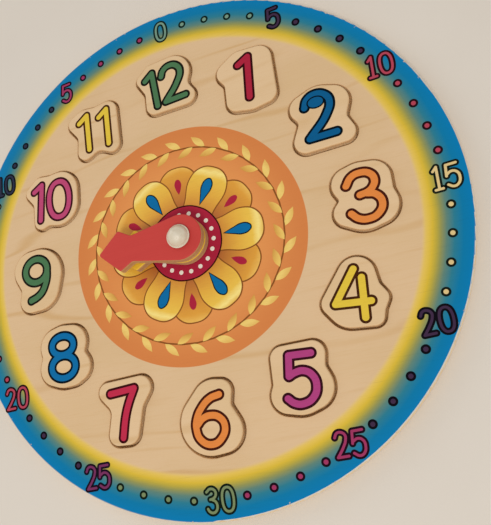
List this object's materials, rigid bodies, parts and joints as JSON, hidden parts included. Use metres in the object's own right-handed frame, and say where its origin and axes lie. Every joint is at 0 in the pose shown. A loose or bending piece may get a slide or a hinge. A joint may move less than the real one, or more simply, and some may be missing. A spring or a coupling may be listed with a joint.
{
  "type": "wooden learning clock",
  "caption": "Round wooden learning clock: a printed two-layer board with lift-out numeral pieces and two arrow-shaped hands that turn on a capped centre bolt.",
  "frame": {"origin": "middle of the back face, which the clock lies on", "axes": "+Z is the way the dial faces, +Y points to twelve o'clock, +X to three o'clock"},
  "size_m": [0.3, 0.3, 0.0267],
  "materials": {
    "backing_plywood": "bare, lightly sanded plywood",
    "printed_plywood": "plywood with a printed and varnished face",
    "numeral_plywood": "plywood with a printed and varnished top",
    "yellow_painted_plywood": "painted top, plain ply edges",
    "red_painted_plywood": "painted top, plain ply edges",
    "zinc_steel": "zinc-plated steel",
    "white_nylon": "plain nylon",
    "pearl_plastic": "off-white, slightly pearly"
  },
  "bodies": {
    "clock_body": {"back_board": "backing_plywood", "front_board": "printed_plywood", "centre_bolt": "zinc_steel", "lower_washer": "white_nylon", "middle_washer": "white_nylon", "upper_washer": "white_nylon", "hex_nut": "zinc_steel", "nut_cap": "pearl_plastic"},
    "hour_hand": {"hour_hand": "yellow_painted_plywood"},
    "minute_hand": {"minute_hand": "red_painted_plywood"},
    "numeral_01": {"numeral_01": "numeral_plywood"},
    "numeral_02": {"numeral_02": "numeral_plywood"},
    "numeral_03": {"numeral_03": "numeral_plywood"},
    "numeral_04": {"numeral_04": "numeral_plywood"},
    "numeral_05": {"numeral_05": "numeral_plywood"},
    "numeral_06": {"numeral_06": "numeral_plywood"},
    "numeral_07": {"numeral_07": "numeral_plywood"},
    "numeral_08": {"numeral_08": "numeral_plywood"},
    "numeral_09": {"numeral_09": "numeral_plywood"},
    "numeral_10": {"numeral_10": "numeral_plywood"},
    "numeral_11": {"numeral_11": "numeral_plywood"},
    "numeral_12": {"numeral_12": "numeral_plywood"}
  },
  "joints": [
    {"name": "hour_hand_turn", "type": "hinge", "parent": "clock_body", "child": "hour_hand", "pos_m": [0, 0, 0.0114], "axis": [0, 0, 1], "continuous": true},
    {"name": "minute_hand_turn", "type": "hinge", "parent": "clock_body", "child": "minute_hand", "pos_m": [0, 0, 0.0174], "axis": [0, 0, 1], "continuous": true},
    {"name": "numeral_01_lift", "type": "slide", "parent": "clock_body", "child": "numeral_01", "axis": [0, 0, 1], "range_m": [0, 0.02]},
    {"name": "numeral_02_lift", "type": "slide", "parent": "clock_body", "child": "numeral_02", "axis": [0, 0, 1], "range_m": [0, 0.02]},
    {"name": "numeral_03_lift", "type": "slide", "parent": "clock_body", "child": "numeral_03", "axis": [0, 0, 1], "range_m": [0, 0.02]},
    {"name": "numeral_04_lift", "type": "slide", "parent": "clock_body", "child": "numeral_04", "axis": [0, 0, 1], "range_m": [0, 0.02]},
    {"name": "numeral_05_lift", "type": "slide", "parent": "clock_body", "child": "numeral_05", "axis": [0, 0, 1], "range_m": [0, 0.02]},
    {"name": "numeral_06_lift", "type": "slide", "parent": "clock_body", "child": "numeral_06", "axis": [0, 0, 1], "range_m": [0, 0.02]},
    {"name": "numeral_07_lift", "type": "slide", "parent": "clock_body", "child": "numeral_07", "axis": [0, 0, 1], "range_m": [0, 0.02]},
    {"name": "numeral_08_lift", "type": "slide", "parent": "clock_body", "child": "numeral_08", "axis": [0, 0, 1], "range_m": [0, 0.02]},
    {"name": "numeral_09_lift", "type": "slide", "parent": "clock_body", "child": "numeral_09", "axis": [0, 0, 1], "range_m": [0, 0.02]},
    {"name": "numeral_10_lift", "type": "slide", "parent": "clock_body", "child": "numeral_10", "axis": [0, 0, 1], "range_m": [0, 0.02]},
    {"name": "numeral_11_lift", "type": "slide", "parent": "clock_body", "child": "numeral_11", "axis": [0, 0, 1], "range_m": [0, 0.02]},
    {"name": "numeral_12_lift", "type": "slide", "parent": "clock_body", "child": "numeral_12", "axis": [0, 0, 1], "range_m": [0, 0.02]}
  ]
}
